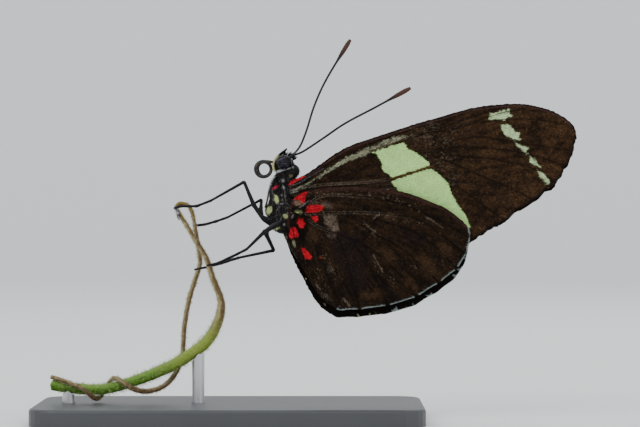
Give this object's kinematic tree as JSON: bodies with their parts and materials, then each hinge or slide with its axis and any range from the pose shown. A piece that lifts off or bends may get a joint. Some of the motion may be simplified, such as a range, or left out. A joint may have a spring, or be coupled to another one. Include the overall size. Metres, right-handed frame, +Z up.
{
  "type": "doris longwing butterfly resting on a tendril",
  "caption": "Life-size longwing butterfly, wings closed over its back, hanging by its legs on a looped tendril held by a plain flat stand.",
  "frame": {"origin": "centre of the underside of the stand's base", "axes": "+X from the head towards the wing tips, +Z up, -Y the insect's left side, which the picture shows"},
  "size_m": [0.0783, 0.03, 0.0558],
  "materials": {
    "body_black": "matt, downy",
    "eye_grey": "gloss, finely faceted",
    "palp_cream": "matt, scaly",
    "antenna_dark": "satin",
    "leg_grey": "matt, scaly",
    "forewing_brown": "matt, scaly",
    "hindwing_black": "matt, scaly",
    "stem_green": "soft, fresh, finely hairy",
    "tendril_brown": "dry",
    "stand_base_grey": "satin",
    "stand_rod_steel": "brushed"
  },
  "bodies": {
    "root": {"head": "body_black", "collar": "body_black", "thorax": "body_black", "abdomen": "body_black", "eye_left": "eye_grey", "eye_right": "eye_grey", "palp_left": "palp_cream", "palp_right": "palp_cream", "proboscis": "antenna_dark", "antenna_left": "antenna_dark", "antenna_right": "antenna_dark", "forewing_left": "forewing_brown", "forewing_right": "forewing_brown", "hindwing_left": "hindwing_black", "hindwing_right": "hindwing_black", "foreleg_left": "leg_grey", "foreleg_right": "leg_grey", "midleg_left": "leg_grey", "midleg_right": "leg_grey", "hindleg_left": "leg_grey", "hindleg_right": "leg_grey", "perch_stem": "stem_green", "perch_stem_upper": "tendril_brown", "perch_tendril_loop": "tendril_brown", "perch_tendril_fall": "tendril_brown", "perch_tendril_bend": "tendril_brown", "perch_tendril_coil": "tendril_brown", "perch_withered_tip": "tendril_brown", "stand_base": "stand_base_grey", "stand_rod_left": "stand_rod_steel", "stand_rod_right": "stand_rod_steel"}
  },
  "joints": []
}
